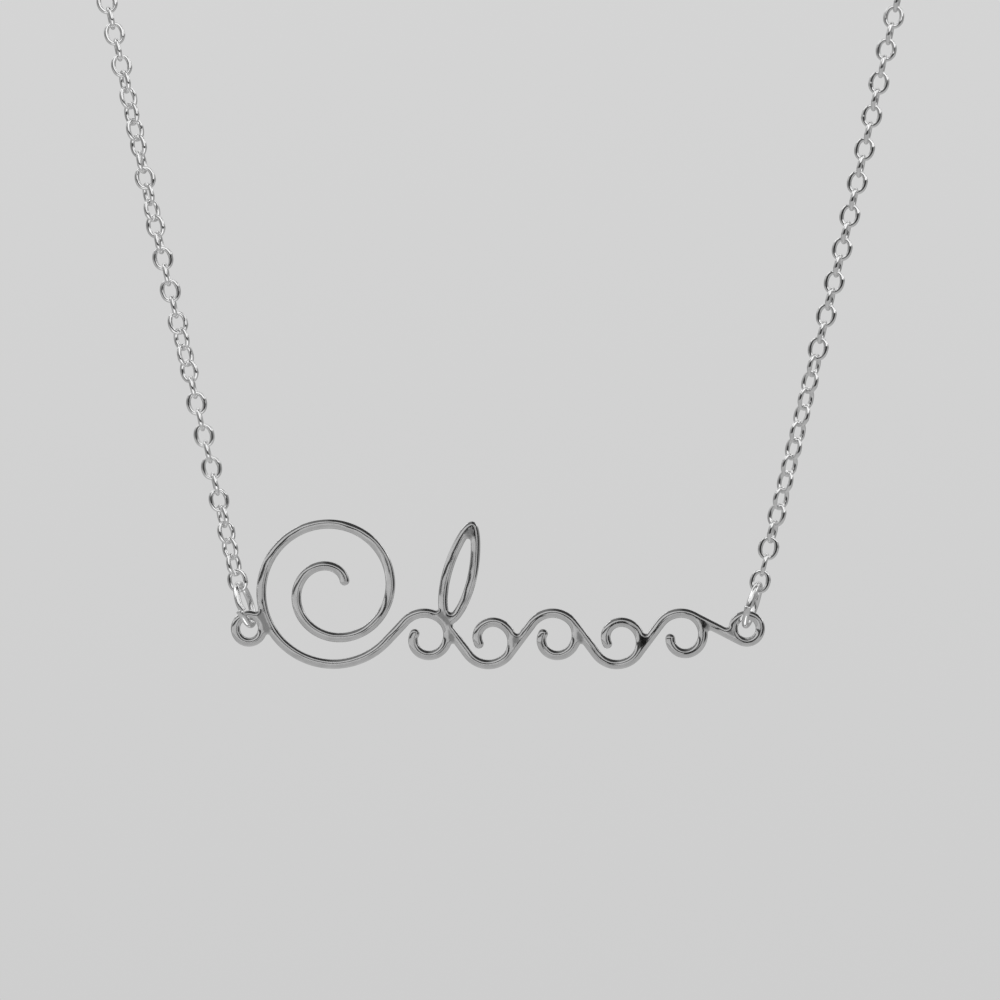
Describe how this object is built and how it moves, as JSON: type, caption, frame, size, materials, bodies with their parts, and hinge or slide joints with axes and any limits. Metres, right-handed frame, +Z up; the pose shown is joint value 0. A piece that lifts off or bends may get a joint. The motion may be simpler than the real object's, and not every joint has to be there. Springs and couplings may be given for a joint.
{
  "type": "nameplate necklace",
  "caption": "Fine cable chain necklace that carries an openwork scroll plate between two jump rings, closed at the nape with a plain clasp.",
  "frame": {"origin": "middle of the clasp, where the chain rests at the nape of a neck", "axes": "+Z up, -Y towards the front of the plate and the viewer, +X to the viewer's right"},
  "size_m": [0.095, 0.0878, 0.0967],
  "materials": {
    "polished_plate": "polished silver",
    "bright_wire": "polished silver"
  },
  "bodies": {
    "necklace": {"jump_ring_left": "bright_wire", "jump_ring_right": "bright_wire", "chain_left": "bright_wire", "chain_right": "bright_wire", "clasp": "bright_wire", "clasp_ring_left": "bright_wire", "clasp_ring_right": "bright_wire"},
    "plate": {"nameplate": "polished_plate"}
  },
  "joints": [
    {"name": "plate_swing", "type": "hinge", "parent": "necklace", "child": "plate", "pos_m": [0, -0.084, -0.0888], "axis": [1, 0, 0], "range_deg": [-70, 70]}
  ]
}
